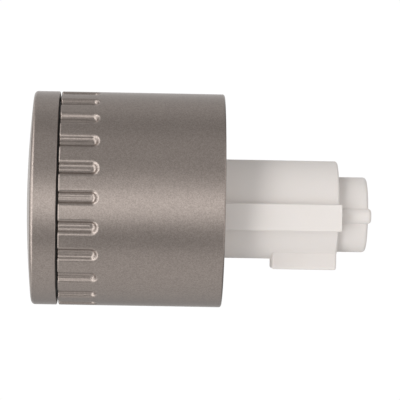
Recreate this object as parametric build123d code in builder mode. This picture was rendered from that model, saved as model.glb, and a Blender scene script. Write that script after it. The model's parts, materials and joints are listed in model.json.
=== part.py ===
from build123d import *
import math
import os

# Battery actuator head: a drum with a turning, fluted sleeve and a pressing front cap, on a white
# keyed stem that plugs into a valve. A motor and three gear stages turn a nut, and the nut drives a
# push spindle out of the stem's end.
# X runs along the drum from the cap (-X) to the stem's end (+X), +Z is up. The origin is on the
# spindle's axis, in the plane of the stem's end shoulder. All sizes are in millimetres.

# ---------------------------------------------------------------- driving dimensions
# Drum and stem, outside
drum_r = 25.0
sleeve_length = 38.0
cap_length = 7.3
seam_gap = 0.4
stem_length = 26.7
drum_axis_z = 2.7
tube_axis_z = 0.9
tube_r = 11.57
spigot_r = 8.8
spigot_length = 6.95

# Places along X that follow from them
drum_rear_x = -stem_length
sleeve_front_x = drum_rear_x - sleeve_length
cap_rear_x = sleeve_front_x - seam_gap
cap_front_x = cap_rear_x - cap_length

# Sleeve and its flutes
sleeve_bore_r = 23.0
lip_bore_r = 21.6
lip_thickness = 1.2
flute_count = 23
flute_first_angle = 0.3
flute_length = 8.8
flute_width = 2.6
flute_depth = 0.88
flute_wall_r = 0.85
flute_rim_fillet = 0.9
ridge_height = 0.06
ridge_r = 1.2
ridge_length = 7.3
sleeve_front_fillet = 0.35
sleeve_rear_fillet = 0.5

# Cap
cap_wall = 1.3
cap_dome_rise = 1.3
cap_edge_r = 0.9
cap_rear_fillet = 0.25

# Fits
running = 0.06
assembly_gap = 0.05
axle_fit = 0.02
bearing_play = 0.08
bearing_r = sleeve_bore_r - bearing_play

# Stem details
tube_end_fillet = 0.6
key_face_y = -14.4
key_top_z = drum_axis_z - 0.4
key_bottom_z = drum_axis_z - 6.7
key_overhang = 0.4
key_overhang_depth = 3.6
key_root_y = -7.0
key_fillet = 0.35
block_length = 15.0
block_gap = 0.1
block_top_z = -0.7 * tube_r
block_bottom_z = drum_axis_z - 15.7
block_half_width = 5.8
block_side_fillet = 0.8
block_end_fillet = 0.5
stem_bore_r = spigot_r + assembly_gap
flange_thickness = 2.0
flange_gap = 0.2
flange_rear_x = drum_rear_x - lip_thickness - flange_gap
flange_front_x = flange_rear_x - flange_thickness
spigot_end_fillet = 0.85
rib_r = 1.75
rib_y = -8.6
rib_z = -0.3
rib_overhang = 0.6
rib_end_fillet = 0.8
rib_root_depth = 1.5

# Gear train
gear_module = 0.4
pressure_angle = math.radians(25)
backlash = 0.08
tooth_rise = 0.9
tooth_root = 1.2
output_teeth = 40
wheel_teeth = 36
pinion_teeth = 12
second_gear_offset_y = -9.3
first_gear_offset_y = 8.8
motor_offset_y = 8.0
output_layer_x = -34.7
second_layer_x = -39.5
first_layer_x = -42.9
gear_width = 2.8
output_gear_width = 3.0
plate_thickness = 1.2
middle_plate_x = -36.3
motor_plate_x = -44.5
end_play = 0.1
axle_r = 0.75
nut_r = 5.0
nut_end_x = -17.0
spindle_r = 3.0
spindle_flat = 2.3
journal_r = 4.0

# Encoder drive
ring_module = 0.5
ring_teeth = 84
encoder_teeth = 14
encoder_tooth_rise = 0.8
encoder_tooth_root = 1.1
ring_tooth_root = 1.2
encoder_ring_x = -63.0
encoder_ring_width = 3.0
encoder_angle = 185.0

# Casing, bulkhead and board
casing_r = 22.0
casing_bore_r = 20.9
bulkhead_x = -59.7
bulkhead_thickness = 3.0
board_x = -66.9
board_thickness = 1.0
board_r = 21.0
post_circle_r = 18.3
post_angles = (90, 228, 312)
post_r = 1.0
pillar_r = 1.6
screw_circle_r = 18.9
screw_angles = (60, 180, 300)
screw_r = 0.9
screw_hole_r = 1.0
screw_head_r = 1.7
screw_head_height = 0.85
counterbore_r = 1.9
counterbore_depth = 1.0

# Batteries: two short lithium cells side by side above the motor
cell_r = 7.8
cell_length = 27.0
cell_nub_r = 3.0
cell_nub_height = 0.8
cell_front_x = -64.2
cell_y = 7.95
cell_z = drum_axis_z + 9.3
trough_r = 8.1

# Motor: a flat-sided micro motor
motor_r = 6.0
motor_height = 10.0
motor_length = 14.7
motor_shaft_r = 0.5
motor_screw_r = 0.65

os.makedirs("parts", exist_ok=True)


# ---------------------------------------------------------------- helpers
def across(x, y=0.0, z=0.0):
    """Plane square to the drum: its own x runs along Y, its own y along Z, its normal along +X."""
    return Plane(origin=(x, y, z), x_dir=(0, 1, 0), z_dir=(1, 0, 0))


def across_drum(x):
    return across(x, 0, drum_axis_z)


def polar(radius, degrees):
    """Point on a circle round the drum's axis, as the across_drum plane counts it."""
    angle = math.radians(degrees)
    return (radius * math.cos(angle), radius * math.sin(angle))


def involute(angle):
    return math.tan(angle) - angle


def gear_points(teeth, module, outward, inward, play, phase=0.0):
    """Outline of an involute gear. outward and inward are the tooth's heights over and under the
    pitch circle, play is what the tooth is thinned by, and phase is where a tooth's middle lies."""
    pitch_r = teeth * module / 2
    base_r = pitch_r * math.cos(pressure_angle)
    tip_r = pitch_r + outward
    root_r = pitch_r - inward
    start_r = max(base_r, root_r)
    flank_radii = (start_r, (start_r + pitch_r) / 2, pitch_r, (pitch_r + tip_r) / 2, tip_r)
    half_tooth = (math.pi * module / 2 - play) / (2 * pitch_r)
    flank = []
    for r in flank_radii:
        slope = math.acos(min(1.0, base_r / r))
        flank.append((r, half_tooth + involute(pressure_angle) - involute(slope)))
    if root_r < start_r:
        flank.insert(0, (root_r, flank[0][1]))
    points = []
    for tooth in range(teeth):
        middle = math.radians(phase) + tooth * 2 * math.pi / teeth
        for r, half in flank:
            points.append((r * math.cos(middle - half), r * math.sin(middle - half)))
        for r, half in reversed(flank):
            points.append((r * math.cos(middle + half), r * math.sin(middle + half)))
    return points


def spur_points(teeth, phase=0.0):
    outward = tooth_rise * gear_module
    inward = tooth_root * gear_module
    return gear_points(teeth, gear_module, outward, inward, backlash / 2, phase)


def mesh_phase(from_centre, to_centre, from_teeth, to_teeth, from_phase):
    """Phase that puts a gear in mesh with its neighbour, both as seen along +X."""
    away = math.degrees(math.atan2(to_centre[1] - from_centre[1], to_centre[0] - from_centre[0]))
    return away + 180 + 180 / to_teeth - (from_phase - away) * from_teeth / to_teeth


def centre_distance(teeth_a, teeth_b):
    return (teeth_a + teeth_b) * gear_module / 2


def step_from(centre, distance, across_y, downward):
    """Centre at a distance from another one, given how far it lies along Y."""
    rise = math.sqrt(distance**2 - across_y**2)
    return (centre[0] + across_y, centre[1] - rise if downward else centre[1] + rise)


def save(piece, name):
    piece.label = name
    export_step(piece, f"parts/{name}.step")


# ---------------------------------------------------------------- gear centres, as (y, z)
output_centre = (0.0, 0.0)
output_distance = centre_distance(output_teeth, pinion_teeth)
stage_distance = centre_distance(wheel_teeth, pinion_teeth)
second_centre = step_from(output_centre, output_distance, second_gear_offset_y, True)
first_centre = step_from(second_centre, stage_distance, first_gear_offset_y, True)
motor_centre = step_from(first_centre, stage_distance, motor_offset_y, False)

second_pinion_phase = mesh_phase(output_centre, second_centre, output_teeth, pinion_teeth, 0)
first_pinion_phase = mesh_phase(second_centre, first_centre, wheel_teeth, pinion_teeth, 0)
motor_pinion_phase = mesh_phase(first_centre, motor_centre, wheel_teeth, pinion_teeth, 0)

drum_line = Axis((0, 0, drum_axis_z), (1, 0, 0))

# ---------------------------------------------------------------- grip sleeve
# One flute is a round-ended channel that runs out at the cap's end. Its walls are round, a low ridge
# runs along its floor, and its rim is rounded over on the sleeve.
flute_run_out = 2.0
flute_floor_z = drum_axis_z + drum_r - flute_depth
flute_axis_z = flute_floor_z + flute_wall_r
flute_end_x = sleeve_front_x + flute_length
flute_end_centre_x = flute_end_x - flute_width / 2

with BuildPart() as flute_cutter:
    with BuildSketch(across(sleeve_front_x - flute_run_out, 0, flute_axis_z)):
        SlotOverall(flute_width, 2 * flute_wall_r)
    extrude(amount=flute_end_centre_x - sleeve_front_x + flute_run_out)
    with BuildSketch(across(flute_end_centre_x, 0, flute_axis_z)):
        SlotOverall(flute_width, 2 * flute_wall_r)
        with Locations((-flute_width / 2, 0)):
            Rectangle(flute_width, 2 * flute_width, mode=Mode.SUBTRACT)
    revolve(axis=Axis((flute_end_centre_x, 0, flute_axis_z), (0, 0, 1)))
    with BuildSketch(across(sleeve_front_x - flute_run_out, 0, flute_floor_z + ridge_height - ridge_r)):
        Circle(ridge_r)
    extrude(amount=flute_run_out + ridge_length, mode=Mode.SUBTRACT)


def is_flute_rim(edge):
    """True for an edge on the drum's surface round a flute."""
    for position in (0.25, 0.5, 0.75):
        point = edge @ position
        radius = math.hypot(point.Y, point.Z - drum_axis_z)
        if abs(radius - drum_r) > 0.001 or not sleeve_front_x + 0.001 < point.X < flute_end_x + 1:
            return False
    return True


def is_outer_front_edge(edge):
    """True for an edge of the sleeve's front face other than the bore's."""
    for position in (0.25, 0.5, 0.75):
        point = edge @ position
        radius = math.hypot(point.Y, point.Z - drum_axis_z)
        if abs(point.X - sleeve_front_x) > 0.001 or radius < sleeve_bore_r + 0.001:
            return False
    return True


with BuildPart() as grip_sleeve:
    with BuildSketch(across_drum(sleeve_front_x)):
        Circle(drum_r)
    extrude(amount=sleeve_length)
    fillet(grip_sleeve.edges().sort_by(Axis.X)[-1], radius=sleeve_rear_fillet)
    with BuildSketch(across_drum(sleeve_front_x)):
        Circle(sleeve_bore_r)
    extrude(amount=sleeve_length - lip_thickness, mode=Mode.SUBTRACT)
    with BuildSketch(across_drum(drum_rear_x)):
        Circle(lip_bore_r)
    extrude(amount=-lip_thickness, mode=Mode.SUBTRACT)
    cutters = []
    for flute in range(flute_count):
        turn = 90 - flute_first_angle + flute * 360 / flute_count
        cutters.append(flute_cutter.part.rotate(drum_line, turn))
    add(cutters, mode=Mode.SUBTRACT)
    fillet(grip_sleeve.edges().filter_by(is_flute_rim), radius=flute_rim_fillet)
    fillet(grip_sleeve.edges().filter_by(is_outer_front_edge), radius=sleeve_front_fillet)
save(grip_sleeve.part, "grip_sleeve")

# Internal gear pressed into the sleeve's front, which turns the encoder wheel.
ring_rise = ring_tooth_root * ring_module
ring_root = encoder_tooth_rise * ring_module
with BuildPart() as encoder_ring:
    with BuildSketch(across_drum(encoder_ring_x)):
        Circle(sleeve_bore_r - assembly_gap / 2)
        Polygon(
            *gear_points(ring_teeth, ring_module, ring_rise, ring_root, -backlash, encoder_angle),
            align=None,
            mode=Mode.SUBTRACT,
        )
    extrude(amount=encoder_ring_width)
save(encoder_ring.part, "encoder_ring")

# ---------------------------------------------------------------- front cap
# Domed shell: the face is a shallow spherical dome, and a rounded edge joins it to the side.
dome_edge_r = drum_r - cap_edge_r
dome_sphere_r = (dome_edge_r**2 + cap_dome_rise**2) / (2 * cap_dome_rise)


def dome_sag(radius, sphere_r):
    return sphere_r - math.sqrt(sphere_r**2 - radius**2)


with BuildPart() as front_cap:
    with BuildSketch(Plane.XZ):
        with BuildLine():
            apex = (cap_front_x, drum_axis_z)
            rim = (cap_front_x + cap_dome_rise, drum_axis_z + dome_edge_r)
            half_r = dome_edge_r / 2
            crown = (cap_front_x + dome_sag(half_r, dome_sphere_r), drum_axis_z + half_r)
            side_start = (cap_front_x + cap_dome_rise + cap_edge_r, drum_axis_z + drum_r)
            corner = (
                side_start[0] - cap_edge_r * math.sin(math.radians(45)),
                rim[1] + cap_edge_r * math.sin(math.radians(45)),
            )
            inner_r = drum_r - cap_wall
            inner_rim_r = inner_r - 1
            inner_front_x = cap_front_x + cap_wall
            inner_corner = (side_start[0], drum_axis_z + inner_r)
            inner_rim = (inner_front_x + dome_sag(inner_rim_r, dome_sphere_r), drum_axis_z + inner_rim_r)
            inner_crown = (inner_front_x + dome_sag(half_r, dome_sphere_r), drum_axis_z + half_r)
            inner_apex = (inner_front_x, drum_axis_z)
            ThreePointArc(apex, crown, rim)
            ThreePointArc(rim, corner, side_start)
            Polyline(
                side_start,
                (cap_rear_x, drum_axis_z + drum_r),
                (cap_rear_x, drum_axis_z + inner_r),
                inner_corner,
                inner_rim,
            )
            ThreePointArc(inner_rim, inner_crown, inner_apex)
            Line(inner_apex, apex)
        make_face()
    revolve(axis=drum_line)
    cap_rims = front_cap.edges().filter_by(GeomType.CIRCLE).group_by(Axis.X)[-1]
    fillet(cap_rims.sort_by(SortBy.RADIUS)[-1], radius=cap_rear_fillet)
save(front_cap.part, "front_cap")

# Plastic carrier glued inside the cap. Its skirt reaches through the seam into the sleeve, and its
# three posts slide in the bulkhead's pillars.
carrier_setback = 2.7
carrier_x = cap_front_x + carrier_setback
carrier_thickness = 1.0
carrier_rear_x = carrier_x + carrier_thickness
carrier_rim_length = 1.5
skirt_r = 22.6
skirt_wall = 0.7
skirt_reach = 1.0
skirt_end_x = sleeve_front_x + skirt_reach
post_end_x = -62.0

with BuildPart() as cap_carrier:
    with BuildSketch(across_drum(carrier_x)):
        Circle(skirt_r)
    extrude(amount=carrier_thickness)
    with BuildSketch(across_drum(carrier_rear_x)):
        Circle(skirt_r)
        Circle(skirt_r - skirt_wall, mode=Mode.SUBTRACT)
    extrude(amount=skirt_end_x - carrier_rear_x)
    with BuildSketch(across_drum(carrier_rear_x)):
        Circle(drum_r - cap_wall - assembly_gap)
        Circle(skirt_r - skirt_wall, mode=Mode.SUBTRACT)
    extrude(amount=carrier_rim_length)
    with BuildSketch(across_drum(carrier_rear_x)):
        with Locations(*[polar(post_circle_r, angle) for angle in post_angles]):
            Circle(post_r)
    extrude(amount=post_end_x - carrier_rear_x)
save(cap_carrier.part, "cap_carrier")

# Three small return springs round the posts, between the carrier and the board.
spring_wire_r = 0.12
spring_r = 1.6
spring_gap = 0.05
spring_front_x = carrier_rear_x + spring_gap + spring_wire_r
spring_rear_x = board_x - spring_gap - spring_wire_r
spring_turns = 3
spring_pitch = (spring_rear_x - spring_front_x) / spring_turns

with BuildPart() as cap_springs:
    for angle in post_angles:
        y, z = polar(post_circle_r, angle)
        with BuildLine() as coil:
            Helix(
                pitch=spring_pitch,
                height=spring_pitch * spring_turns,
                radius=spring_r,
                center=(spring_front_x, y, drum_axis_z + z),
                direction=(1, 0, 0),
            )
        with BuildSketch(Plane(origin=coil.line @ 0, z_dir=coil.line % 0)) as wire:
            Circle(spring_wire_r)
        sweep(sections=wire.sketch, path=coil.line, is_frenet=True)
save(cap_springs.part, "cap_springs")

# ---------------------------------------------------------------- stem housing
axle_seat_depth = 1.0
with BuildPart() as stem_housing:
    with BuildSketch(across(flange_rear_x, 0, tube_axis_z)):
        Circle(tube_r)
    extrude(amount=-flange_rear_x)
    tube_rims = stem_housing.edges().filter_by(GeomType.CIRCLE).sort_by(Axis.X)
    fillet(tube_rims[-1], radius=tube_end_fillet)
    with BuildSketch(across_drum(flange_front_x)):
        Circle(bearing_r)
    extrude(amount=flange_thickness)
    # Key along the side, with a flat face that runs on a little past the tube's end
    for inner_y, start_x, end_x in (
        (key_root_y, flange_rear_x, 0),
        (key_face_y + key_overhang_depth, -key_overhang, key_overhang),
    ):
        with BuildSketch(across(start_x)):
            with Locations(((key_face_y + inner_y) / 2, (key_top_z + key_bottom_z) / 2)):
                Rectangle(inner_y - key_face_y, key_top_z - key_bottom_z)
        extrude(amount=end_x - start_x)
    fillet(stem_housing.edges().filter_by(Axis.X).group_by(Axis.Y)[0], radius=key_fillet)
    # Block under the far end
    with BuildSketch(across(-block_gap - block_length)):
        with Locations((0, (block_bottom_z + block_top_z) / 2)):
            Rectangle(2 * block_half_width, block_top_z - block_bottom_z)
    extrude(amount=block_length)
    fillet(stem_housing.edges().filter_by(Axis.X).group_by(Axis.Z)[0], radius=block_side_fillet)
    fillet(stem_housing.edges().filter_by(Axis.Y).group_by(Axis.Z)[0], radius=block_end_fillet)
    # Bore on the spindle's axis for the nut, its bearing and the barrel, with a notch for the rib
    with BuildSketch(across(flange_front_x)):
        Circle(stem_bore_r)
    extrude(amount=-flange_front_x, mode=Mode.SUBTRACT)
    with BuildSketch(across(0, rib_y, rib_z)):
        Circle(rib_r + assembly_gap)
    extrude(amount=-rib_root_depth - assembly_gap, mode=Mode.SUBTRACT)
    # Counterbored holes for the casing screws
    with Locations(across_drum(flange_rear_x)):
        with Locations(*[polar(screw_circle_r, angle) for angle in screw_angles]):
            CounterBoreHole(screw_hole_r, counterbore_r, counterbore_depth)
    # Blind hole for the second gear's axle
    with BuildSketch(across(flange_front_x)):
        with Locations(second_centre):
            Circle(axle_r + axle_fit)
    extrude(amount=axle_seat_depth, mode=Mode.SUBTRACT)
save(stem_housing.part, "stem_housing")

# Barrel that guides the spindle: its shank sits in the stem, its spigot enters the valve, and its
# rib starts in the stem's notch, which keeps it from turning.
shank_length = 12.0
seal_x = 3.85
seal_wire_r = 0.6
seal_seat_x = 4.5
guide_r = 5.0

with BuildPart() as spindle_barrel:
    with BuildSketch(across(-shank_length)):
        Circle(spigot_r)
    extrude(amount=shank_length + spigot_length)
    fillet(spindle_barrel.edges().sort_by(Axis.X)[-1], radius=spigot_end_fillet)
    with BuildSketch(across(-rib_root_depth, rib_y, rib_z)):
        Circle(rib_r)
    extrude(amount=rib_root_depth + spigot_length + rib_overhang)
    rib_rims = spindle_barrel.edges().filter_by(GeomType.CIRCLE).sort_by(Axis.X)
    fillet(rib_rims[-1], radius=rib_end_fillet)
    with BuildSketch(across(-shank_length)):
        Circle(guide_r)
    extrude(amount=shank_length + seal_seat_x, mode=Mode.SUBTRACT)
    with BuildSketch(across(seal_seat_x)):
        Circle(spindle_r + running)
    extrude(amount=spigot_length, mode=Mode.SUBTRACT)
save(spindle_barrel.part, "spindle_barrel")

# Brass bush with two flats, which keeps the spindle from turning.
guide_front_x = -11.5
guide_rear_x = -4.0
with BuildPart() as spindle_guide:
    with BuildSketch(across(guide_front_x)):
        Circle(guide_r - assembly_gap)
        with BuildSketch(mode=Mode.SUBTRACT):
            Circle(spindle_r + running)
            Rectangle(2 * (spindle_flat + running), 2 * guide_r, mode=Mode.INTERSECT)
    extrude(amount=guide_rear_x - guide_front_x)
save(spindle_guide.part, "spindle_guide")

with BuildPart() as spindle_seal:
    with BuildSketch(Plane.XZ):
        with Locations((seal_x, spindle_r + running + seal_wire_r)):
            Circle(seal_wire_r)
    revolve(axis=Axis.X)
save(spindle_seal.part, "spindle_seal")

# ---------------------------------------------------------------- output: nut gear, spindle, bearing
spindle_front_x = -34.5
spindle_tip_x = 6.1
flats_start_x = -16.5
flats_end_x = -3.8
tip_length = 2.0
tip_fillet = 0.8
tip_shank_r = 1.175
tip_shank_length = 2.8
tip_hole_r = 1.2
tip_hole_depth = 3.0

with BuildPart() as push_spindle:
    with BuildSketch(across(spindle_front_x)):
        Circle(spindle_r)
    extrude(amount=spindle_tip_x - tip_length - spindle_front_x)
    with BuildSketch(across(flats_start_x)):
        with Locations((spindle_flat + spindle_r / 2, 0), (-spindle_flat - spindle_r / 2, 0)):
            Rectangle(spindle_r, 3 * spindle_r)
    extrude(amount=flats_end_x - flats_start_x, mode=Mode.SUBTRACT)
    with BuildSketch(across(spindle_tip_x - tip_length)):
        Circle(tip_hole_r)
    extrude(amount=-tip_hole_depth, mode=Mode.SUBTRACT)
save(push_spindle.part, "push_spindle")

# Hardened button in the spindle's end, which bears on the valve's pin.
with BuildPart() as spindle_tip:
    with BuildSketch(across(spindle_tip_x - tip_length)):
        Circle(spindle_r)
    extrude(amount=tip_length)
    fillet(spindle_tip.edges().sort_by(Axis.X)[-1], radius=tip_fillet)
    with BuildSketch(across(spindle_tip_x - tip_length)):
        Circle(tip_shank_r)
    extrude(amount=-tip_shank_length)
save(spindle_tip.part, "spindle_tip")

journal_start_x = middle_plate_x + end_play
with BuildPart() as output_gear:
    with BuildSketch(across(output_layer_x)):
        Polygon(*spur_points(output_teeth), align=None)
    extrude(amount=output_gear_width)
    with BuildSketch(across(output_layer_x)):
        Circle(journal_r)
    extrude(amount=journal_start_x - output_layer_x)
    with BuildSketch(across(output_layer_x + output_gear_width)):
        Circle(nut_r)
    extrude(amount=nut_end_x - output_layer_x - output_gear_width)
    with BuildSketch(across(journal_start_x)):
        Circle(spindle_r + running)
    extrude(amount=nut_end_x - journal_start_x, mode=Mode.SUBTRACT)
save(output_gear.part, "output_gear")

bearing_length = 6.0
with BuildPart() as output_bearing:
    with BuildSketch(across(flange_front_x + end_play)):
        Circle(stem_bore_r - assembly_gap)
        Circle(nut_r + running, mode=Mode.SUBTRACT)
    extrude(amount=bearing_length)
save(output_bearing.part, "output_bearing")

washer_r = 7.0
washer_thickness = 0.3
washer_gap = 0.03
with BuildPart() as thrust_washer:
    with BuildSketch(across(middle_plate_x + plate_thickness + washer_gap)):
        Circle(washer_r)
        Circle(journal_r + running, mode=Mode.SUBTRACT)
    extrude(amount=washer_thickness)
save(thrust_washer.part, "thrust_washer")

# ---------------------------------------------------------------- gear stages and axles
pinion_overrun = 0.3
second_hub_x = second_layer_x + gear_width
second_pinion_end_x = output_layer_x + output_gear_width + pinion_overrun
with BuildPart() as second_stage_gear:
    with BuildSketch(across(second_layer_x, *second_centre)):
        Polygon(*spur_points(wheel_teeth), align=None)
    extrude(amount=gear_width)
    with BuildSketch(across(second_hub_x, *second_centre)):
        Polygon(*spur_points(pinion_teeth, second_pinion_phase), align=None)
    extrude(amount=second_pinion_end_x - second_hub_x)
    with BuildSketch(across(second_layer_x, *second_centre)):
        Circle(axle_r + running)
    extrude(amount=second_pinion_end_x - second_layer_x, mode=Mode.SUBTRACT)
save(second_stage_gear.part, "second_stage_gear")

first_hub_x = first_layer_x + gear_width
first_pinion_end_x = second_layer_x + gear_width
with BuildPart() as first_stage_gear:
    with BuildSketch(across(first_layer_x, *first_centre)):
        Polygon(*spur_points(wheel_teeth), align=None)
    extrude(amount=gear_width)
    with BuildSketch(across(first_hub_x, *first_centre)):
        Polygon(*spur_points(pinion_teeth, first_pinion_phase), align=None)
    extrude(amount=first_pinion_end_x - first_hub_x)
    with BuildSketch(across(first_layer_x, *first_centre)):
        Circle(axle_r + running)
    extrude(amount=first_pinion_end_x - first_layer_x, mode=Mode.SUBTRACT)
save(first_stage_gear.part, "first_stage_gear")

axle_recess = 0.2
axle_start_x = motor_plate_x + axle_recess
second_axle_end_x = flange_front_x + axle_seat_depth - end_play
first_axle_end_x = middle_plate_x + plate_thickness - axle_recess
with BuildPart() as second_stage_axle:
    with BuildSketch(across(axle_start_x, *second_centre)):
        Circle(axle_r)
    extrude(amount=second_axle_end_x - axle_start_x)
save(second_stage_axle.part, "second_stage_axle")

with BuildPart() as first_stage_axle:
    with BuildSketch(across(axle_start_x, *first_centre)):
        Circle(axle_r)
    extrude(amount=first_axle_end_x - axle_start_x)
save(first_stage_axle.part, "first_stage_axle")

# ---------------------------------------------------------------- plates and pillars
plate_play = 0.15
plate_r = casing_bore_r - plate_play
plate_pillar_r = 1.4
plate_pillar_centres = ((14.5, -11.0), (-17.6, -0.8), (-7.6, -17.6))
pinion_window_gap = 0.54
pinion_window_r = (pinion_teeth / 2 + tooth_rise) * gear_module + pinion_window_gap

with BuildPart() as middle_plate:
    with BuildSketch(across_drum(middle_plate_x)):
        Circle(plate_r)
        with Locations(*[polar(screw_circle_r, angle) for angle in screw_angles]):
            Circle(screw_r, mode=Mode.SUBTRACT)
    extrude(amount=plate_thickness)
    with BuildSketch(across(middle_plate_x)):
        Circle(journal_r + running)
        with Locations(second_centre):
            Circle(pinion_window_r)
        with Locations(first_centre):
            Circle(axle_r + axle_fit)
    extrude(amount=plate_thickness, mode=Mode.SUBTRACT)
save(middle_plate.part, "middle_plate")

motor_plate_top = 0.1
motor_boss_r = 2.0
motor_boss_height = 0.9
motor_screw_offset = 4.0
motor_screw_clearance = 0.2
motor_screw_places = ((-motor_screw_offset, 0), (motor_screw_offset, 0))
with BuildPart() as motor_plate:
    with BuildSketch(across_drum(motor_plate_x)):
        Circle(plate_r)
        with Locations((0, motor_plate_top + drum_r)):
            Rectangle(2 * drum_r, 2 * drum_r, mode=Mode.SUBTRACT)
    extrude(amount=plate_thickness)
    with BuildSketch(across(motor_plate_x)):
        with Locations(first_centre, second_centre):
            Circle(axle_r + axle_fit)
        with Locations(motor_centre):
            Circle(motor_boss_r + end_play)
    extrude(amount=plate_thickness, mode=Mode.SUBTRACT)
    with BuildSketch(across(motor_plate_x, *motor_centre)):
        with Locations(*motor_screw_places):
            Circle(motor_screw_r + motor_screw_clearance)
    extrude(amount=plate_thickness, mode=Mode.SUBTRACT)
save(motor_plate.part, "motor_plate")

with BuildPart() as plate_pillars:
    with BuildSketch(across_drum(motor_plate_x + plate_thickness)):
        with Locations(*plate_pillar_centres):
            Circle(plate_pillar_r)
    extrude(amount=middle_plate_x - motor_plate_x - plate_thickness)
save(plate_pillars.part, "plate_pillars")

# ---------------------------------------------------------------- motor
motor_screw_reach = 1.3
motor_rear_x = motor_plate_x - assembly_gap
motor_front_x = motor_rear_x - motor_length
with BuildPart() as motor_can:
    with BuildSketch(across(motor_front_x, *motor_centre)):
        Circle(motor_r)
        Rectangle(2 * motor_r, motor_height, mode=Mode.INTERSECT)
    extrude(amount=motor_length)
    with BuildSketch(across(motor_rear_x, *motor_centre)):
        Circle(motor_boss_r)
    extrude(amount=motor_boss_height)
    with BuildSketch(across(motor_rear_x + motor_boss_height, *motor_centre)):
        Circle(motor_shaft_r + running)
    extrude(amount=-motor_length, mode=Mode.SUBTRACT)
    with BuildSketch(across(motor_rear_x, *motor_centre)):
        with Locations(*motor_screw_places):
            Circle(motor_screw_r + assembly_gap)
    extrude(amount=-motor_screw_reach - assembly_gap, mode=Mode.SUBTRACT)
save(motor_can.part, "motor_can")

motor_cap_thickness = 0.9
motor_cap_inset = 0.2
with BuildPart() as motor_end_cap:
    with BuildSketch(across(motor_front_x, *motor_centre)):
        Circle(motor_r - motor_cap_inset)
        Rectangle(2 * motor_r, motor_height - 2 * motor_cap_inset, mode=Mode.INTERSECT)
    extrude(amount=-motor_cap_thickness)
save(motor_end_cap.part, "motor_end_cap")

lead_r = 0.45
lead_offset = 4.0
leads_front_x = motor_front_x - motor_cap_thickness
with BuildPart() as motor_leads:
    with BuildSketch(across(leads_front_x, *motor_centre)):
        with Locations((-lead_offset, 0), (lead_offset, 0)):
            Circle(lead_r)
    extrude(amount=board_x + board_thickness - leads_front_x)
save(motor_leads.part, "motor_leads")

# Flush screws: the small gear that turns in front of them leaves no room for heads.
with BuildPart() as motor_screws:
    with BuildSketch(across(motor_plate_x - motor_screw_reach, *motor_centre)):
        with Locations(*motor_screw_places):
            Circle(motor_screw_r)
    extrude(amount=plate_thickness + motor_screw_reach)
save(motor_screws.part, "motor_screws")

pinion_fit = 0.01
shaft_depth = 11.0
shaft_start_x = motor_rear_x - shaft_depth
shaft_end_x = first_layer_x + gear_width + pinion_overrun
with BuildPart() as motor_shaft:
    with BuildSketch(across(shaft_start_x, *motor_centre)):
        Circle(motor_shaft_r)
    extrude(amount=shaft_end_x - shaft_start_x)
save(motor_shaft.part, "motor_shaft")

with BuildPart() as motor_pinion:
    with BuildSketch(across(first_layer_x, *motor_centre)):
        Polygon(*spur_points(pinion_teeth, motor_pinion_phase), align=None)
        Circle(motor_shaft_r + pinion_fit, mode=Mode.SUBTRACT)
    extrude(amount=gear_width)
save(motor_pinion.part, "motor_pinion")

# ---------------------------------------------------------------- casing and bulkhead
casing_front_x = bulkhead_x + bulkhead_thickness + assembly_gap
casing_rear_x = flange_front_x - end_play
boss_r = 2.4
boss_front_x = middle_plate_x + plate_thickness + end_play
with BuildPart() as inner_casing:
    with BuildSketch(across_drum(casing_front_x)):
        Circle(casing_r)
        Circle(casing_bore_r, mode=Mode.SUBTRACT)
    extrude(amount=casing_rear_x - casing_front_x)
    with BuildSketch(across_drum(boss_front_x)):
        with Locations(*[polar(screw_circle_r, angle) for angle in screw_angles]):
            Circle(boss_r)
        with Locations(*[polar(screw_circle_r, angle) for angle in screw_angles]):
            Circle(screw_r + assembly_gap, mode=Mode.SUBTRACT)
    extrude(amount=casing_rear_x - boss_front_x)
save(inner_casing.part, "inner_casing")

motor_window_gap = 0.5
wire_hole_r = 4.0
wire_hole_place = (-7.0, -9.0)
post_play = 0.08
pillar_bore_depth = 5.0
with BuildPart() as front_bulkhead:
    with BuildSketch(across_drum(bulkhead_x)):
        Circle(bearing_r)
        with Locations((-cell_y, cell_z - drum_axis_z), (cell_y, cell_z - drum_axis_z)):
            Circle(trough_r, mode=Mode.SUBTRACT)
        with Locations((motor_centre[0], motor_centre[1] - drum_axis_z)):
            Rectangle(
                2 * (motor_r + motor_window_gap), motor_height + 2 * motor_window_gap, mode=Mode.SUBTRACT
            )
        with Locations(wire_hole_place):
            Circle(wire_hole_r, mode=Mode.SUBTRACT)
    extrude(amount=bulkhead_thickness)
    with BuildSketch(across_drum(bulkhead_x)):
        with Locations(*[polar(post_circle_r, angle) for angle in post_angles]):
            Circle(pillar_r)
    extrude(amount=board_x + board_thickness - bulkhead_x)
    with BuildSketch(across_drum(board_x + board_thickness)):
        with Locations(*[polar(post_circle_r, angle) for angle in post_angles]):
            Circle(post_r + post_play)
    extrude(amount=pillar_bore_depth, mode=Mode.SUBTRACT)
save(front_bulkhead.part, "front_bulkhead")

screw_head_x = flange_rear_x - counterbore_depth + assembly_gap
cross_length = 2.0
cross_width = 0.4
cross_depth = 0.5
with BuildPart() as casing_screws:
    with BuildSketch(across_drum(middle_plate_x)):
        with Locations(*[polar(screw_circle_r, angle) for angle in screw_angles]):
            Circle(screw_r - axle_fit)
    extrude(amount=screw_head_x - middle_plate_x)
    with BuildSketch(across_drum(screw_head_x)):
        with Locations(*[polar(screw_circle_r, angle) for angle in screw_angles]):
            Circle(screw_head_r)
    extrude(amount=screw_head_height)
    with BuildSketch(across_drum(screw_head_x + screw_head_height)):
        with Locations(*[polar(screw_circle_r, angle) for angle in screw_angles]):
            Rectangle(cross_length, cross_width)
            Rectangle(cross_width, cross_length)
    extrude(amount=-cross_depth, mode=Mode.SUBTRACT)
save(casing_screws.part, "casing_screws")

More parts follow.
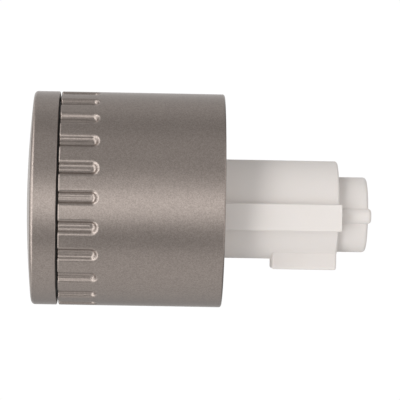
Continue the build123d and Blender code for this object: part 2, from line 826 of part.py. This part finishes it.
# ---------------------------------------------------------------- batteries, their carrier and contacts
battery_carrier_setback = 0.2
battery_carrier_rear_x = cell_front_x + cell_length - battery_carrier_setback
battery_carrier_width = 34.0
battery_carrier_height = 8.7
battery_carrier_middle = 4.95
with BuildPart() as battery_carrier:
    with BuildSketch(across_drum(casing_front_x)):
        with Locations((0, battery_carrier_middle)):
            Rectangle(battery_carrier_width, battery_carrier_height)
        with Locations((-cell_y, cell_z - drum_axis_z), (cell_y, cell_z - drum_axis_z)):
            Circle(trough_r, mode=Mode.SUBTRACT)
    extrude(amount=battery_carrier_rear_x - casing_front_x)
save(battery_carrier.part, "battery_carrier")

# The cells lie opposite ways round, so that the bridge joins them in series.
cell_fillet = 0.5
with BuildPart() as left_cell:
    with BuildSketch(across(cell_front_x + cell_nub_height, -cell_y, cell_z)):
        Circle(cell_r)
    extrude(amount=cell_length - cell_nub_height)
    fillet(left_cell.edges().filter_by(GeomType.CIRCLE), radius=cell_fillet)
    with BuildSketch(across(cell_front_x + cell_nub_height, -cell_y, cell_z)):
        Circle(cell_nub_r)
    extrude(amount=-cell_nub_height)
save(left_cell.part, "left_cell")

with BuildPart() as right_cell:
    with BuildSketch(across(cell_front_x, cell_y, cell_z)):
        Circle(cell_r)
    extrude(amount=cell_length - cell_nub_height)
    fillet(right_cell.edges().filter_by(GeomType.CIRCLE), radius=cell_fillet)
    with BuildSketch(across(cell_front_x + cell_length - cell_nub_height, cell_y, cell_z)):
        Circle(cell_nub_r)
    extrude(amount=cell_nub_height)
save(right_cell.part, "right_cell")

contact_thickness = 0.3
contact_gap = 0.02
bridge_width = 5.0
bridge_corner_r = 1.5
with BuildPart() as battery_bridge:
    with BuildSketch(across(cell_front_x + cell_length + contact_gap, 0, cell_z)):
        RectangleRounded(2 * cell_y + bridge_width, bridge_width, bridge_corner_r)
    extrude(amount=contact_thickness)
save(battery_bridge.part, "battery_bridge")

# Spring leaves soldered on the board's back, one on each cell.
leaf_width = 4.0
leaf_foot = 2.5
board_rear_x = board_x + board_thickness
leaf_lift = cell_front_x - board_rear_x - contact_thickness - assembly_gap
with BuildPart() as battery_contacts:
    for side in (-cell_y, cell_y):
        leaf_plane = Plane(
            origin=(board_rear_x + contact_thickness / 2, side, cell_z), x_dir=(0, 0, 1), z_dir=(0, 1, 0)
        )
        with BuildSketch(leaf_plane):
            with BuildLine():
                leaf = Polyline(
                    (-2 * leaf_foot, 0), (-leaf_foot, 0), (0, leaf_lift), (leaf_foot, leaf_lift)
                )
            trace(leaf, line_width=contact_thickness)
        extrude(amount=leaf_width / 2, both=True)
save(battery_contacts.part, "battery_contacts")

# ---------------------------------------------------------------- board and what is on it
with BuildPart() as circuit_board:
    with BuildSketch(across_drum(board_x)):
        Circle(board_r)
        with Locations(*[polar(post_circle_r, angle) for angle in post_angles]):
            Circle(post_r + post_play, mode=Mode.SUBTRACT)
    extrude(amount=board_thickness)
save(circuit_board.part, "circuit_board")

switch_size = 6.0
switch_height = 1.0
switch_corner_r = 0.4
plunger_r = 1.5
plunger_height = 0.4
with BuildPart() as push_switch:
    with BuildSketch(across_drum(board_x)):
        RectangleRounded(switch_size, switch_size, switch_corner_r)
    extrude(amount=-switch_height)
    with BuildSketch(across_drum(board_x - switch_height)):
        Circle(plunger_r)
    extrude(amount=-plunger_height)
save(push_switch.part, "push_switch")

radio_width = 12.0
radio_height = 7.0
radio_corner_r = 0.5
radio_thickness = 1.5
radio_place = (-1.0, -14.5)
with BuildPart() as radio_module:
    with BuildSketch(across_drum(board_rear_x)):
        with Locations(radio_place):
            RectangleRounded(radio_width, radio_height, radio_corner_r)
    extrude(amount=radio_thickness)
save(radio_module.part, "radio_module")

chip_size = 5.0
chip_thickness = 0.8
chip_place = (-5.0, -4.0)
with BuildPart() as controller_chip:
    with BuildSketch(across_drum(board_rear_x)):
        with Locations(chip_place):
            Rectangle(chip_size, chip_size)
    extrude(amount=chip_thickness)
save(controller_chip.part, "controller_chip")

encoder_y, encoder_dz = polar((ring_teeth - encoder_teeth) * ring_module / 2, encoder_angle)
encoder_z = drum_axis_z + encoder_dz
encoder_shaft_r = 0.8
encoder_body_r = 3.2
encoder_body_length = 2.0
encoder_bore_depth = 1.5
encoder_setback = 0.2
wheel_x = encoder_ring_x + encoder_setback
wheel_rise = encoder_tooth_rise * ring_module
wheel_root = encoder_tooth_root * ring_module
with BuildPart() as encoder_body:
    with BuildSketch(across(board_rear_x, encoder_y, encoder_z)):
        Circle(encoder_body_r)
    extrude(amount=encoder_body_length)
    with BuildSketch(across(board_rear_x + encoder_body_length, encoder_y, encoder_z)):
        Circle(encoder_shaft_r + running)
    extrude(amount=-encoder_bore_depth, mode=Mode.SUBTRACT)
save(encoder_body.part, "encoder_body")

with BuildPart() as encoder_wheel:
    with BuildSketch(across(wheel_x, encoder_y, encoder_z)):
        Polygon(
            *gear_points(encoder_teeth, ring_module, wheel_rise, wheel_root, backlash, encoder_angle),
            align=None,
        )
    extrude(amount=encoder_ring_width - 2 * encoder_setback)
    with BuildSketch(across(wheel_x, encoder_y, encoder_z)):
        Circle(encoder_shaft_r)
    extrude(amount=board_rear_x + encoder_body_length - encoder_bore_depth + end_play - wheel_x)
save(encoder_wheel.part, "encoder_wheel")
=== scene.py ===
import json
import math

import bpy
from mathutils import Matrix, Vector


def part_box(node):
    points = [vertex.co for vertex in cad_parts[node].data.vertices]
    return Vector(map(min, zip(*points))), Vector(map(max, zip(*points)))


# Motorised actuator head: a fluted drum in satin metallic lacquer on a white keyed stem.
# The frame brings every piece of it, so this script gives each one its finish, and sets the camera
# and the studio round them. Lengths are in metres.
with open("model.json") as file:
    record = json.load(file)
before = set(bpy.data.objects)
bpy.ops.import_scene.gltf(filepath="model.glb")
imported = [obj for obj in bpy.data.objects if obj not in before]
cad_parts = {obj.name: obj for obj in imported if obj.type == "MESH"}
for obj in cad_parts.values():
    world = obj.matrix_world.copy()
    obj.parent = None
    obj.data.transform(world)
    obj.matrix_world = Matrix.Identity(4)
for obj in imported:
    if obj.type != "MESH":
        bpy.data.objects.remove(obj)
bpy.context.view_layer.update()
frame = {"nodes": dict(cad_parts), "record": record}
scene = bpy.context.scene
scene.view_settings.view_transform = "Standard"

MM = 0.001

# ---------------------------------------------------------------- places read from the frame
cap_low, cap_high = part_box("front_cap")
drum_z = (cap_high.z + cap_low.z) / 2
drum_rear_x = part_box("grip_sleeve")[1].x


# ---------------------------------------------------------------- shared node groups
# How fast the edge mask rises where the surface turns, and how finely it is broken up
EDGE_GAIN = 6.0
WEAR_PATCHES_PER_METRE = 900.0
# The part of a noise's range that holds nearly all of its values
NOISE_LOW = 0.3
NOISE_HIGH = 0.7


def new_group(name, inputs, outputs):
    """A shader node group with float inputs (name, default) and float or colour outputs."""
    group = bpy.data.node_groups.new(name, "ShaderNodeTree")
    for label, default in inputs:
        socket = group.interface.new_socket(label, in_out="INPUT", socket_type="NodeSocketFloat")
        socket.default_value = default
    for label, kind in outputs:
        group.interface.new_socket(label, in_out="OUTPUT", socket_type=kind)
    return group, group.nodes.new("NodeGroupInput"), group.nodes.new("NodeGroupOutput")


def noise_node(nodes, links, coordinates, scale, detail=3.0, roughness=0.55):
    noise = nodes.new("ShaderNodeTexNoise")
    noise.inputs["Detail"].default_value = detail
    noise.inputs["Roughness"].default_value = roughness
    links.new(coordinates, noise.inputs["Vector"])
    if hasattr(scale, "is_linked"):
        links.new(scale, noise.inputs["Scale"])
    else:
        noise.inputs["Scale"].default_value = scale
    return noise


def math_node(nodes, links, operation, *values, clamp=False):
    node = nodes.new("ShaderNodeMath")
    node.operation = operation
    node.use_clamp = clamp
    for place, value in enumerate(values):
        if hasattr(value, "is_linked"):
            links.new(value, node.inputs[place])
        else:
            node.inputs[place].default_value = value
    return node.outputs[0]


def make_grain():
    """Fine tooth of a moulded or sprayed surface: a height, and a slow variation of shade."""
    group, given, out = new_group(
        "surface_grain",
        (("Grains per metre", 3000.0), ("Patches per metre", 60.0)),
        (("Height", "NodeSocketFloat"), ("Patch", "NodeSocketFloat")),
    )
    nodes, links = group.nodes, group.links
    place = nodes.new("ShaderNodeTexCoord").outputs["Object"]
    fine = noise_node(nodes, links, place, given.outputs["Grains per metre"], detail=2.0)
    slow = noise_node(nodes, links, place, given.outputs["Patches per metre"], detail=4.0)
    links.new(fine.outputs["Fac"], out.inputs["Height"])
    links.new(slow.outputs["Fac"], out.inputs["Patch"])
    return group


def make_flakes():
    """Metallic flakes under a lacquer: each cell has its own brightness and its own tilt."""
    group, given, out = new_group(
        "metal_flakes",
        (("Flakes per metre", 4000.0),),
        (("Shade", "NodeSocketFloat"), ("Height", "NodeSocketFloat")),
    )
    nodes, links = group.nodes, group.links
    place = nodes.new("ShaderNodeTexCoord").outputs["Object"]
    cells = nodes.new("ShaderNodeTexVoronoi")
    cells.feature = "F1"
    links.new(place, cells.inputs["Vector"])
    links.new(given.outputs["Flakes per metre"], cells.inputs["Scale"])
    parts = nodes.new("ShaderNodeSeparateColor")
    links.new(cells.outputs["Color"], parts.inputs["Color"])
    tilt = math_node(nodes, links, "MULTIPLY", cells.outputs["Distance"], parts.outputs["Green"])
    links.new(parts.outputs["Red"], out.inputs["Shade"])
    links.new(tilt, out.inputs["Height"])
    return group


def make_edges():
    """Mask of worn edges: 1 where the surface turns within the given width, broken up by noise."""
    group, given, out = new_group(
        "edge_wear", (("Width", 0.0004), ("Amount", 1.0)), (("Mask", "NodeSocketFloat"),)
    )
    nodes, links = group.nodes, group.links
    bevel = nodes.new("ShaderNodeBevel")
    bevel.samples = 4
    links.new(given.outputs["Width"], bevel.inputs["Radius"])
    surface = nodes.new("ShaderNodeNewGeometry")
    agree = nodes.new("ShaderNodeVectorMath")
    agree.operation = "DOT_PRODUCT"
    links.new(bevel.outputs["Normal"], agree.inputs[0])
    links.new(surface.outputs["Normal"], agree.inputs[1])
    turned = math_node(nodes, links, "SUBTRACT", 1.0, agree.outputs["Value"], clamp=True)
    sharp = math_node(nodes, links, "MULTIPLY", turned, EDGE_GAIN, clamp=True)
    place = nodes.new("ShaderNodeTexCoord").outputs["Object"]
    worn = noise_node(nodes, links, place, WEAR_PATCHES_PER_METRE, detail=4.0)
    broken = math_node(nodes, links, "MULTIPLY", sharp, worn.outputs["Fac"])
    mask = math_node(nodes, links, "MULTIPLY", broken, given.outputs["Amount"], clamp=True)
    links.new(mask, out.inputs["Mask"])
    return group


def make_brushing():
    """Turning or drawing marks that run round or along one axis: a height."""
    group, given, out = new_group(
        "tool_marks",
        (("Marks X", 100.0), ("Marks Y", 100.0), ("Marks Z", 4000.0)),
        (("Height", "NodeSocketFloat"),),
    )
    nodes, links = group.nodes, group.links
    place = nodes.new("ShaderNodeTexCoord").outputs["Object"]
    scale = nodes.new("ShaderNodeCombineXYZ")
    for axis in "XYZ":
        links.new(given.outputs[f"Marks {axis}"], scale.inputs[axis])
    stretched = nodes.new("ShaderNodeVectorMath")
    stretched.operation = "MULTIPLY"
    links.new(place, stretched.inputs[0])
    links.new(scale.outputs["Vector"], stretched.inputs[1])
    marks = noise_node(nodes, links, stretched.outputs["Vector"], 1.0, detail=3.0)
    links.new(marks.outputs["Fac"], out.inputs["Height"])
    return group


GRAIN = make_grain()
FLAKES = make_flakes()
EDGES = make_edges()
MARKS = make_brushing()


def place_group(nodes, group, **values):
    node = nodes.new("ShaderNodeGroup")
    node.node_tree = group
    for label, value in values.items():
        node.inputs[label.replace("_", " ")].default_value = value
    return node


def shaded(colour, factor):
    return (*(min(1.0, channel * factor) for channel in colour), 1)


def mix_colour(nodes, links, factor, first, second):
    mix = nodes.new("ShaderNodeMix")
    mix.data_type = "RGBA"
    links.new(factor, mix.inputs["Factor"])
    for socket, value in ((mix.inputs["A"], first), (mix.inputs["B"], second)):
        if hasattr(value, "is_linked"):
            links.new(value, socket)
        else:
            socket.default_value = value
    return mix.outputs["Result"]


def ranged(nodes, links, value, low, high):
    """A noise's value spread over low to high."""
    node = nodes.new("ShaderNodeMapRange")
    links.new(value, node.inputs["Value"])
    node.inputs["From Min"].default_value = NOISE_LOW
    node.inputs["From Max"].default_value = NOISE_HIGH
    node.inputs["To Min"].default_value = low
    node.inputs["To Max"].default_value = high
    return node.outputs["Result"]


def bump(nodes, links, height, depth, strength=1.0, under=None):
    node = nodes.new("ShaderNodeBump")
    node.inputs["Distance"].default_value = depth
    node.inputs["Strength"].default_value = strength
    links.new(height, node.inputs["Height"])
    if under is not None:
        links.new(under, node.inputs["Normal"])
    return node.outputs["Normal"]


def start_material(name):
    material = bpy.data.materials.new(name)
    material.use_nodes = True
    return material, material.node_tree.nodes, material.node_tree.links


# ---------------------------------------------------------------- finishes
def lacquer_finish(name, colour):
    """Sprayed metallic lacquer: flakes that glint, a faint orange peel, and rims polished by hands."""
    material, nodes, links = start_material(name)
    shader = nodes["Principled BSDF"]
    shader.inputs["Metallic"].default_value = 0.95
    shader.inputs["Coat Weight"].default_value = 0.15
    shader.inputs["Coat Roughness"].default_value = 0.3
    grain = place_group(nodes, GRAIN, Grains_per_metre=1800.0, Patches_per_metre=45.0)
    flakes = place_group(nodes, FLAKES, Flakes_per_metre=5200.0)
    edges = place_group(nodes, EDGES, Width=0.25 * MM, Amount=0.7)
    dull, bright = shaded(colour, 0.84), shaded(colour, 1.16)
    flaked = mix_colour(nodes, links, flakes.outputs["Shade"], dull, bright)
    worn = mix_colour(nodes, links, edges.outputs["Mask"], flaked, shaded(colour, 1.5))
    links.new(worn, shader.inputs["Base Color"])
    links.new(ranged(nodes, links, grain.outputs["Patch"], 0.31, 0.36), shader.inputs["Roughness"])
    peel = bump(nodes, links, grain.outputs["Height"], 0.01 * MM, 0.5)
    links.new(bump(nodes, links, flakes.outputs["Height"], 0.01 * MM, 0.6, peel), shader.inputs["Normal"])
    return material


def plastic_finish(
    name, colour, roughness, grain=2500.0, depth=0.02, variation=0.04, glow=0.0, wear=0.3, gloss=0.5
):
    """Moulded plastic: spark-eroded grain, faint flow marks and edges rubbed a little brighter."""
    material, nodes, links = start_material(name)
    shader = nodes["Principled BSDF"]
    shader.inputs["Subsurface Weight"].default_value = glow
    shader.inputs["Subsurface Radius"].default_value = (1.5 * MM, 1.2 * MM, 0.9 * MM)
    shader.inputs["Subsurface Scale"].default_value = 1.0
    shader.inputs["Specular IOR Level"].default_value = gloss
    texture = place_group(nodes, GRAIN, Grains_per_metre=grain, Patches_per_metre=70.0)
    edges = place_group(nodes, EDGES, Width=0.3 * MM, Amount=wear)
    low, high = shaded(colour, 1 - variation), shaded(colour, 1 + variation)
    flow = mix_colour(nodes, links, texture.outputs["Patch"], low, high)
    worn = mix_colour(nodes, links, edges.outputs["Mask"], flow, shaded(colour, 1.25))
    links.new(worn, shader.inputs["Base Color"])
    patch = texture.outputs["Patch"]
    links.new(ranged(nodes, links, patch, roughness - 0.05, roughness + 0.05), shader.inputs["Roughness"])
    links.new(bump(nodes, links, texture.outputs["Height"], depth * MM, 0.6), shader.inputs["Normal"])
    return material


def metal_finish(name, colour, roughness, marks=(300.0, 300.0, 5000.0), depth=0.004, tarnish=0.15):
    """Bare or plated metal: tool marks, a patchy tarnish, and edges that have been burnished."""
    material, nodes, links = start_material(name)
    shader = nodes["Principled BSDF"]
    shader.inputs["Metallic"].default_value = 1.0
    lines = place_group(nodes, MARKS, Marks_X=marks[0], Marks_Y=marks[1], Marks_Z=marks[2])
    grain = place_group(nodes, GRAIN, Grains_per_metre=4000.0, Patches_per_metre=250.0)
    edges = place_group(nodes, EDGES, Width=0.15 * MM, Amount=0.8)
    dull, bright = shaded(colour, 1 - tarnish), shaded(colour, 1.04)
    aged = mix_colour(nodes, links, grain.outputs["Patch"], dull, bright)
    worn = mix_colour(nodes, links, edges.outputs["Mask"], aged, shaded(colour, 1.25))
    links.new(worn, shader.inputs["Base Color"])
    high, low = roughness + 0.08, max(0.05, roughness - 0.06)
    links.new(ranged(nodes, links, grain.outputs["Patch"], high, low), shader.inputs["Roughness"])
    links.new(bump(nodes, links, lines.outputs["Height"], depth * MM, 0.7), shader.inputs["Normal"])
    return material


TURNED = (6000.0, 250.0, 250.0)
DRAWN = (250.0, 5000.0, 5000.0)
POROUS = (3000.0, 3000.0, 3000.0)
TAUPE = (0.338, 0.290, 0.262)
WHITE = (0.71, 0.67, 0.642)
MATT = {"variation": 0.02, "glow": 0.12, "wear": 0.1, "gloss": 0.2}

finishes = {
    "sleeve_finish": lacquer_finish("sleeve_lacquer", TAUPE),
    "cap_finish": lacquer_finish("cap_lacquer", TAUPE),
    "stem_plastic": plastic_finish("stem_plastic", WHITE, 0.6, **MATT),
    "barrel_plastic": plastic_finish("barrel_plastic", WHITE, 0.6, **MATT),
    "dark_plastic": plastic_finish("dark_plastic", (0.018, 0.018, 0.019), 0.5),
    "gear_plastic": plastic_finish("gear_acetal", (0.72, 0.70, 0.62), 0.32, depth=0.01, glow=0.1),
    "output_plastic": plastic_finish("filled_acetal", (0.60, 0.57, 0.46), 0.45, depth=0.03, variation=0.1),
    "switch_plastic": plastic_finish("switch_plastic", (0.03, 0.03, 0.033), 0.4),
    "chip_plastic": plastic_finish("chip_epoxy", (0.012, 0.012, 0.014), 0.55, grain=8000.0),
    "seal_rubber": plastic_finish("seal_rubber", (0.012, 0.012, 0.012), 0.62, grain=6000.0),
    "steel_plate": metal_finish("zinc_plated_sheet", (0.55, 0.56, 0.57), 0.34, (400.0, 400.0, 6000.0)),
    "brass": metal_finish("turned_brass", (0.72, 0.50, 0.20), 0.26, TURNED),
    "motor_steel": metal_finish("nickel_plated_can", (0.58, 0.57, 0.54), 0.22, DRAWN),
    "copper_lead": metal_finish("tinned_copper", (0.72, 0.45, 0.30), 0.3, DRAWN),
    "screw_steel": metal_finish("bright_steel", (0.60, 0.60, 0.60), 0.25, TURNED),
    "bearing_bronze": metal_finish("sintered_bronze", (0.50, 0.32, 0.14), 0.45, POROUS, 0.01),
    "spindle_steel": metal_finish("turned_stainless", (0.58, 0.58, 0.58), 0.22, TURNED),
    "tip_steel": metal_finish("polished_tip", (0.66, 0.66, 0.67), 0.12, TURNED, 0.002, 0.05),
    "contact_nickel": metal_finish("nickel_strip", (0.62, 0.59, 0.52), 0.28, DRAWN),
    "shield_can": metal_finish("tinned_shield", (0.66, 0.66, 0.64), 0.3, (2500.0, 2500.0, 2500.0), 0.006),
    "spring_steel": metal_finish("music_wire", (0.42, 0.42, 0.43), 0.24, DRAWN),
    "cell_wrap": plastic_finish("cell_film", (0.02, 0.05, 0.14), 0.22, grain=400.0, depth=0.02),
    "board_laminate": plastic_finish("solder_resist", (0.008, 0.085, 0.035), 0.28, grain=3500.0, depth=0.01),
}
carrier_plastic = plastic_finish("carrier_plastic", (0.10, 0.09, 0.082), 0.5)
slot_of = {piece["node"]: piece["material_slot"] for piece in frame["record"]["subparts"]}
for name, node in frame["nodes"].items():
    node.data.materials.clear()
    node.data.materials.append(carrier_plastic if name == "cap_carrier" else finishes[slot_of[name]])

# ---------------------------------------------------------------- camera
CAMERA_DISTANCE = 0.616
CAMERA_SETBACK = 20.33 * MM
TARGET_SETBACK = 5.29 * MM
TARGET_RISE = 0.11 * MM
FRAME_WIDTH = 94 * MM
ROLL = math.radians(1.04)
SENSOR_WIDTH = 36

camera_data = bpy.data.cameras.new("camera")
camera = bpy.data.objects.new("camera", camera_data)
scene.collection.objects.link(camera)
scene.camera = camera
camera.location = (drum_rear_x - CAMERA_SETBACK, -CAMERA_DISTANCE, drum_z)
look = Vector((drum_rear_x - TARGET_SETBACK, 0, drum_z + TARGET_RISE)) - camera.location
turn = look.to_track_quat("-Z", "Y").to_matrix() @ Matrix.Rotation(ROLL, 3, "Z")
camera.rotation_euler = turn.to_euler()
camera_data.sensor_width = SENSOR_WIDTH
camera_data.lens = SENSOR_WIDTH * look.length / FRAME_WIDTH
camera_data.clip_start = 0.01
camera_data.clip_end = 100

# ---------------------------------------------------------------- studio
# The floor and the backdrop are one white. The floor is seen by the camera alone, and the light
# that it would throw up is part of the studio's light below.
FLOOR_SIZE = 40.0
FLOOR_GAP = 0.2 * MM
bpy.ops.object.select_all(action="DESELECT")
bpy.ops.mesh.primitive_plane_add(size=FLOOR_SIZE, location=(drum_rear_x, 0, cap_low.z - FLOOR_GAP))
floor = bpy.context.object
floor.name = "studio_floor"
floor_material, floor_nodes, floor_links = start_material("white_floor")
floor_shader = floor_nodes["Principled BSDF"]
floor_shader.inputs["Base Color"].default_value = (0, 0, 0, 1)
floor_shader.inputs["Roughness"].default_value = 1.0
floor_shader.inputs["Specular IOR Level"].default_value = 0.0
floor_shader.inputs["Emission Color"].default_value = (1, 1, 1, 1)
floor_shader.inputs["Emission Strength"].default_value = 1.02
floor.data.materials.append(floor_material)
floor.visible_diffuse = False
floor.visible_glossy = False
floor.visible_shadow = False

# Light round the X axis, as (angle, brightness): 0 is level towards the camera, 90 is overhead,
# 180 is level behind, -90 is straight down. It is a narrow strip box a little under the camera's
# height, a dark gap under it, the glow of a white table below, a dim room above, and light from the
# backdrop behind.
ROUND_LIGHT = (
    (-180, 1.0),
    (-150, 0.4),
    (-120, 0.65),
    (-90, 0.75),
    (-60, 0.7),
    (-46, 0.25),
    (-32, 0.35),
    (-10, 1.5),
    (0, 1.5),
    (20, 0.6),
    (35, 0.4),
    (60, 0.5),
    (90, 0.35),
    (110, 0.6),
    (140, 0.6),
    (180, 1.0),
)
# Light from the sides, as (X of its direction, brightness, share that it takes from the light above):
# a tall soft box stands to the left of the camera, and a weaker one to the right.
SIDE_LIGHT = (
    (-1.0, 2.6, 1.0), (-0.85, 1.4, 1.0), (-0.72, 1.2, 1.0), (-0.66, 3.4, 1.0), (-0.48, 3.4, 1.0),
    (-0.40, 1.2, 0.6), (-0.28, 1.0, 0.0), (0.28, 1.0, 0.0), (0.55, 0.8, 1.0), (0.80, 1.0, 1.0),
    (1.0, 1.6, 1.0),
)
# The side light fades to this share of itself as its direction turns from the front, where its
# forward part passes FRONT_EDGE, to behind BACK_EDGE.
BACK_SHARE = 0.3
FRONT_EDGE = 0.5
BACK_EDGE = -0.3
RAMP_TOP = 4.0
BACKDROP = 1.02

world = bpy.data.worlds.new("studio")
scene.world = world
world.use_nodes = True
nodes, links = world.node_tree.nodes, world.node_tree.links
nodes.clear()
direction = nodes.new("ShaderNodeSeparateXYZ")
links.new(nodes.new("ShaderNodeTexCoord").outputs["Generated"], direction.inputs["Vector"])
forward = math_node(nodes, links, "MULTIPLY", direction.outputs["Y"], -1.0)
angle = math_node(nodes, links, "ARCTAN2", direction.outputs["Z"], forward)


def light_ramp(position, stops):
    """Colour ramp over the given stops: (position, brightness, alpha)."""
    ramp = nodes.new("ShaderNodeValToRGB")
    ramp.color_ramp.interpolation = "EASE"
    links.new(position, ramp.inputs["Fac"])
    elements = ramp.color_ramp.elements
    while len(elements) < len(stops):
        elements.new(0.5)
    for element, (at, brightness, alpha) in zip(elements, stops):
        element.position = at
    for element, (at, brightness, alpha) in zip(elements, stops):
        element.color = (brightness / RAMP_TOP, brightness / RAMP_TOP, brightness / RAMP_TOP, alpha)
    return ramp


round_position = math_node(nodes, links, "MULTIPLY_ADD", angle, 0.5 / math.pi, 0.5)
round_stops = [(turned / 360 + 0.5, level, 1.0) for turned, level in ROUND_LIGHT]
round_ramp = light_ramp(round_position, round_stops)
side_position = math_node(nodes, links, "MULTIPLY_ADD", direction.outputs["X"], 0.5, 0.5)
side_stops = [(x / 2 + 0.5, level, share) for x, level, share in SIDE_LIGHT]
side_ramp = light_ramp(side_position, side_stops)
from_front = nodes.new("ShaderNodeMapRange")
from_front.interpolation_type = "SMOOTHSTEP"
links.new(forward, from_front.inputs["Value"])
from_front.inputs["From Min"].default_value = BACK_EDGE
from_front.inputs["From Max"].default_value = FRONT_EDGE
from_front.inputs["To Min"].default_value = RAMP_TOP * BACK_SHARE
from_front.inputs["To Max"].default_value = RAMP_TOP
studio_light = nodes.new("ShaderNodeMix")
links.new(side_ramp.outputs["Alpha"], studio_light.inputs["Factor"])
round_light = math_node(nodes, links, "MULTIPLY", round_ramp.outputs["Color"], RAMP_TOP)
links.new(round_light, studio_light.inputs["A"])
side_light = math_node(nodes, links, "MULTIPLY", side_ramp.outputs["Color"], from_front.outputs["Result"])
links.new(side_light, studio_light.inputs["B"])
lit = nodes.new("ShaderNodeBackground")
links.new(studio_light.outputs["Result"], lit.inputs["Strength"])
seen = nodes.new("ShaderNodeBackground")
seen.inputs["Strength"].default_value = BACKDROP
choose = nodes.new("ShaderNodeMixShader")
links.new(nodes.new("ShaderNodeLightPath").outputs["Is Camera Ray"], choose.inputs["Fac"])
links.new(lit.outputs["Background"], choose.inputs[1])
links.new(seen.outputs["Background"], choose.inputs[2])
for background in (lit, seen):
    background.inputs["Color"].default_value = (1, 1, 1, 1)
links.new(choose.outputs["Shader"], nodes.new("ShaderNodeOutputWorld").inputs["Surface"])
